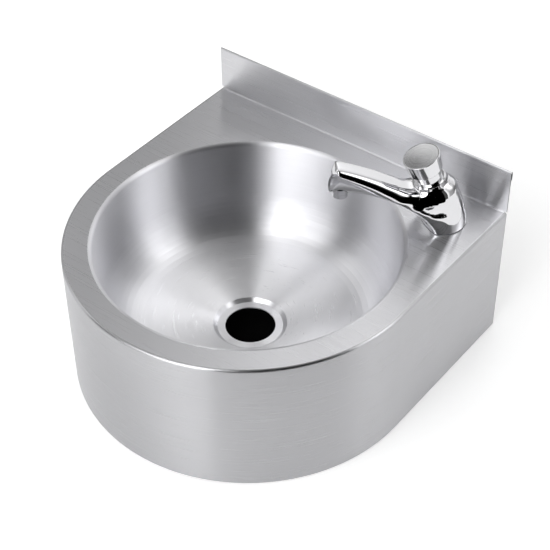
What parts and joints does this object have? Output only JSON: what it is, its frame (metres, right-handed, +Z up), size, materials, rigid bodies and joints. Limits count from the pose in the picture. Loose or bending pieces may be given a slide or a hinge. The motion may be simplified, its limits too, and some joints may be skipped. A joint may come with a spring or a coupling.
{
  "type": "hand wash sink",
  "caption": "Wall-hung stainless steel hand wash sink: round pressed bowl, D-shaped apron, low upstand and a leaning push tap with a fixed spout.",
  "frame": {"origin": "middle of the line where the deck's top plane meets the wall, with the wall as the plane y = 0 and the deck's top as z = 0", "axes": "+X along the wall, to the right of someone who uses the sink; +Y into the wall; +Z up"},
  "size_m": [0.355, 0.3585, 0.234],
  "materials": {
    "satin_steel": "fine satin brushed stainless steel",
    "chrome": "polished chrome plate",
    "satin_chrome": "satin, turned",
    "grey_rubber": "matt",
    "black_rubber": "matt",
    "brass": "machined",
    "bare_steel": "bright stainless",
    "white_plastic": "moulded"
  },
  "bodies": {
    "basin": {"top_deck": "satin_steel", "bowl": "satin_steel", "apron": "satin_steel", "left_fixing_angle": "satin_steel", "right_fixing_angle": "satin_steel", "tap_hole_plate": "satin_steel", "earth_tag": "satin_steel", "tap_body": "chrome", "base_gasket": "grey_rubber", "inlet_tail": "brass", "deck_washer": "black_rubber", "clamp_washer": "bare_steel", "back_nut": "brass", "inlet_filter": "bare_steel", "outlet_nozzle": "chrome", "flow_straightener": "white_plastic", "outlet_washer": "black_rubber", "bonnet": "chrome", "bonnet_seal": "black_rubber", "cartridge_sleeve": "white_plastic", "cartridge_oring": "black_rubber", "valve_seat": "brass", "return_spring": "bare_steel"},
    "button": {"push_button": "chrome", "button_disc": "satin_chrome", "button_screw": "bare_steel", "spindle": "brass", "piston": "white_plastic", "piston_seal": "black_rubber", "valve_washer": "black_rubber"}
  },
  "joints": [
    {"name": "button_slide", "type": "slide", "parent": "basin", "child": "button", "axis": [0.2418, 0.2418, -0.9397], "range_m": [0, 0.006], "stiffness_N_per_m": 1500, "springref_m": -0.006, "deforming": ["return_spring"]}
  ]
}
